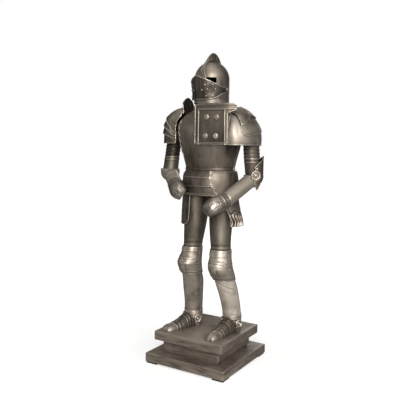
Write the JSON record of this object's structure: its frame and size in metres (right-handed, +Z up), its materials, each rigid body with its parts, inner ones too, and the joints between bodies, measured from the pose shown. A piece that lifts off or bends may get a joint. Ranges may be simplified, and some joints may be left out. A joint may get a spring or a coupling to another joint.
{
  "type": "suit of plate armour on a pedestal",
  "caption": "Hollow statuette of a full suit of plate armour standing on a stepped square pedestal, with a crested helmet whose visor lifts.",
  "frame": {"origin": "middle of the object's footprint, at the undersides of the four felt pads", "axes": "+Z up; the suit faces -Y; its left side is +X"},
  "size_m": [0.2338, 0.1928, 0.6365],
  "materials": {
    "plate": "satin",
    "dark_plate": "satin",
    "bright_plate": "satin",
    "pedestal": "satin",
    "felt": "matte"
  },
  "bodies": {
    "suit": {"ankle_disc_inner_left": "bright_plate", "ankle_disc_inner_right": "bright_plate", "ankle_disc_outer_left": "bright_plate", "ankle_disc_outer_right": "bright_plate", "backplate": "plate", "base_lower_slab": "pedestal", "base_neck": "pedestal", "base_pad_1": "felt", "base_pad_2": "felt", "base_pad_3": "felt", "base_pad_4": "felt", "base_upper_slab": "pedestal", "breastplate": "plate", "couter_disc_left": "bright_plate", "couter_left": "bright_plate", "couter_right": "bright_plate", "couter_wing_left": "plate", "cuisse_left": "plate", "cuisse_right": "plate", "culet": "plate", "fauld": "plate", "gauntlet_left": "dark_plate", "gauntlet_right": "dark_plate", "gorget": "plate", "greave_left": "plate", "greave_right": "plate", "haute_piece_right": "dark_plate", "helmet_comb": "dark_plate", "helmet_skull": "plate", "pauldron_cap_left": "plate", "pauldron_cap_right": "plate", "pauldron_lame_left": "plate", "pauldron_lame_right_1": "plate", "pauldron_lame_right_2": "plate", "pauldron_lame_right_3": "plate", "pauldron_wing_left": "plate", "poleyn_left": "bright_plate", "poleyn_right": "bright_plate", "reinforce_boss_1": "bright_plate", "reinforce_boss_2": "bright_plate", "reinforce_boss_3": "bright_plate", "reinforce_boss_4": "bright_plate", "reinforce_plate": "plate", "rerebrace_left": "plate", "rerebrace_right": "plate", "sabaton_left": "plate", "sabaton_right": "plate", "sleeve_left": "dark_plate", "sleeve_right": "dark_plate", "tasset_left": "plate", "tasset_right": "plate", "toe_cap_left": "bright_plate", "toe_cap_right": "bright_plate", "vambrace_left": "plate", "vambrace_right": "plate", "visor_pin_left": "bright_plate", "visor_pin_right": "bright_plate"},
    "visor": {"visor": "plate"}
  },
  "joints": [
    {"name": "visor_lift", "type": "hinge", "parent": "suit", "child": "visor", "pos_m": [0.00191, 0.00813, 0.56105], "axis": [-0.9744, 0.225, 0], "range_deg": [0, 20]}
  ]
}
